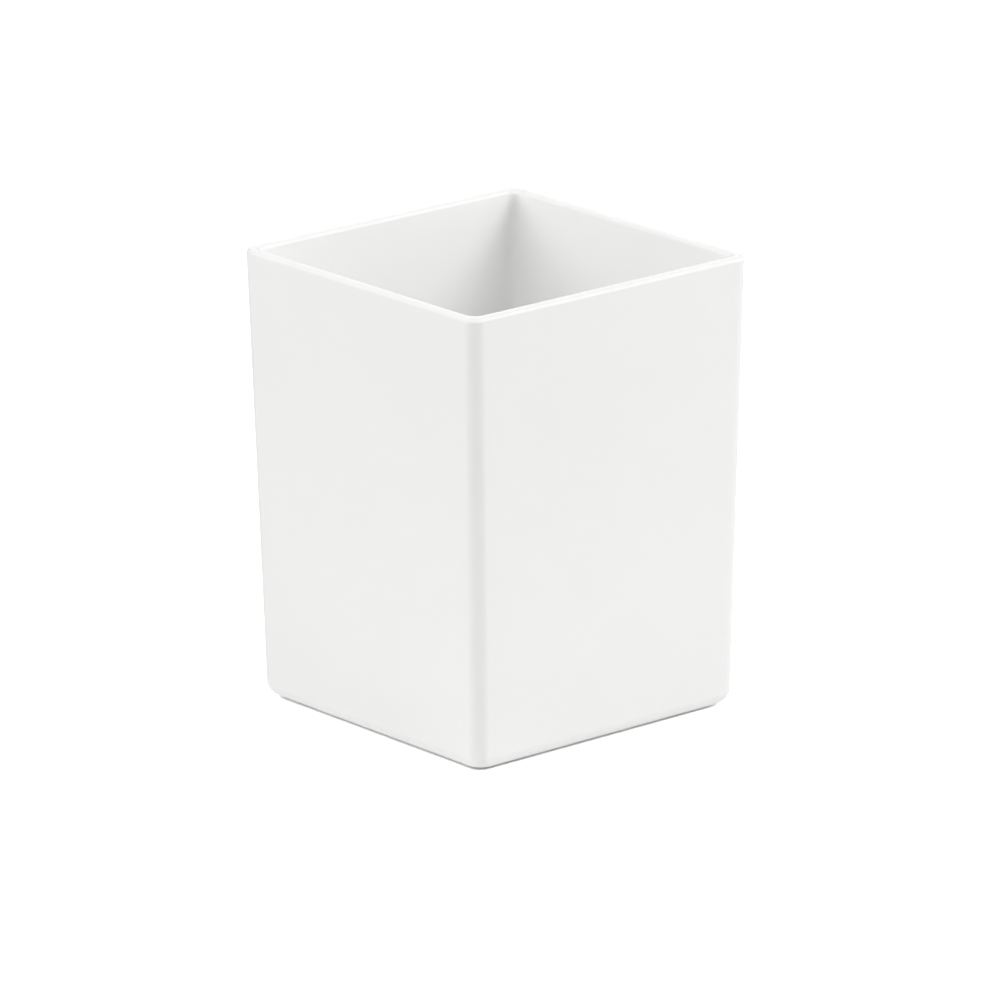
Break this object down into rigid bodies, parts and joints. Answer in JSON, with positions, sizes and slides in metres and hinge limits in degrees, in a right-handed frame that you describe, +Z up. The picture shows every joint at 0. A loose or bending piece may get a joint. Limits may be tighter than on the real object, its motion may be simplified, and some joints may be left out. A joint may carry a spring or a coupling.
{
  "type": "pen holder cup",
  "caption": "Square open-topped desk cup for pens, drafted white plastic walls with a soft rounded lip, standing on low rubber feet.",
  "frame": {"origin": "centre of the square footprint, on the plane the feet stand on", "axes": "+Z up through the open mouth, +X to the right face, -Y to the front face"},
  "size_m": [0.0764, 0.0764, 0.1],
  "materials": {
    "white_abs": "neutral white moulded ABS, satin, very fine mould texture",
    "foot_rubber": "soft grey elastomer, matt",
    "adhesive_film": "thin double-sided acrylic film, slightly milky"
  },
  "bodies": {
    "root": {"cup_body": "white_abs", "foot_front_left": "foot_rubber", "foot_front_right": "foot_rubber", "foot_rear_left": "foot_rubber", "foot_rear_right": "foot_rubber", "adhesive_disc_front_left": "adhesive_film", "adhesive_disc_front_right": "adhesive_film", "adhesive_disc_rear_left": "adhesive_film", "adhesive_disc_rear_right": "adhesive_film"}
  },
  "joints": []
}
